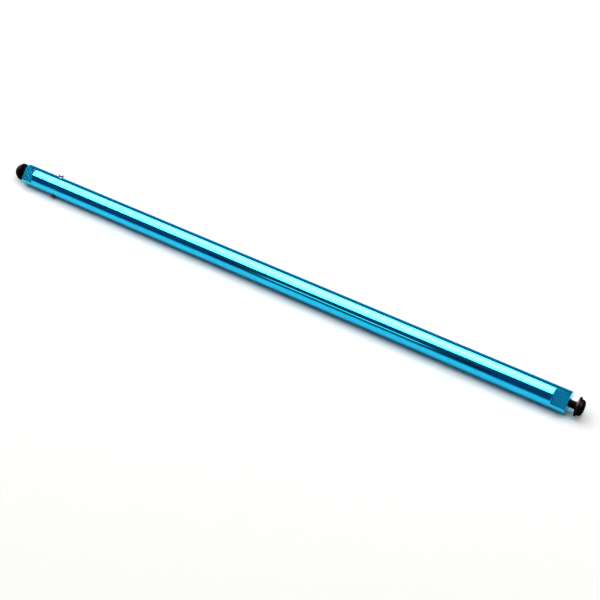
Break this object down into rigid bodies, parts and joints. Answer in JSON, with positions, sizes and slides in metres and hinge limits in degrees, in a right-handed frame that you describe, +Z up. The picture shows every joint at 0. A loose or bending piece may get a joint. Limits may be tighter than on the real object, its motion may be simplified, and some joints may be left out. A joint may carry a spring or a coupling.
{
  "type": "sway bar",
  "caption": "Straight round torsion bar with a milled flat, a backed-off button-head screw and a washer at each end, and a cross pin near one end.",
  "frame": {"origin": "on the bar's axis at mid-length, 4 mm above the surface that the bar lies on", "axes": "+X along the bar towards the end without the cross pin, +Z up from the surface that the bar lies on"},
  "size_m": [0.244, 0.0082, 0.008],
  "materials": {
    "blue_anodised_aluminium": "polished, bright-dipped and anodised blue",
    "ground_steel": "ground and polished",
    "black_oxide_steel": "black oxide, lightly oiled"
  },
  "bodies": {
    "bar": {"torsion_bar": "blue_anodised_aluminium", "cross_pin": "ground_steel"},
    "left_washer": {"left_washer": "black_oxide_steel"},
    "left_screw": {"left_screw": "black_oxide_steel"},
    "right_washer": {"right_washer": "black_oxide_steel"},
    "right_screw": {"right_screw": "black_oxide_steel"}
  },
  "joints": [
    {"name": "left_washer_slide", "type": "slide", "parent": "bar", "child": "left_washer", "axis": [1, 0, 0], "range_m": [-0.005, 0.0025]},
    {"name": "left_screw_turn", "type": "hinge", "parent": "left_washer", "child": "left_screw", "pos_m": [-0.12, 0, 0], "axis": [1, 0, 0], "range_deg": [-3600, 1800]},
    {"name": "right_washer_slide", "type": "slide", "parent": "bar", "child": "right_washer", "axis": [-1, 0, 0], "range_m": [-0.005, 0.0025]},
    {"name": "right_screw_turn", "type": "hinge", "parent": "right_washer", "child": "right_screw", "pos_m": [0.12, 0, 0], "axis": [-1, 0, 0], "range_deg": [-3600, 1800]}
  ],
  "couplings": [
    {"joint": "left_screw_turn", "follows": "left_washer_slide", "rad_per_m": 12566},
    {"joint": "right_screw_turn", "follows": "right_washer_slide", "rad_per_m": 12566}
  ]
}
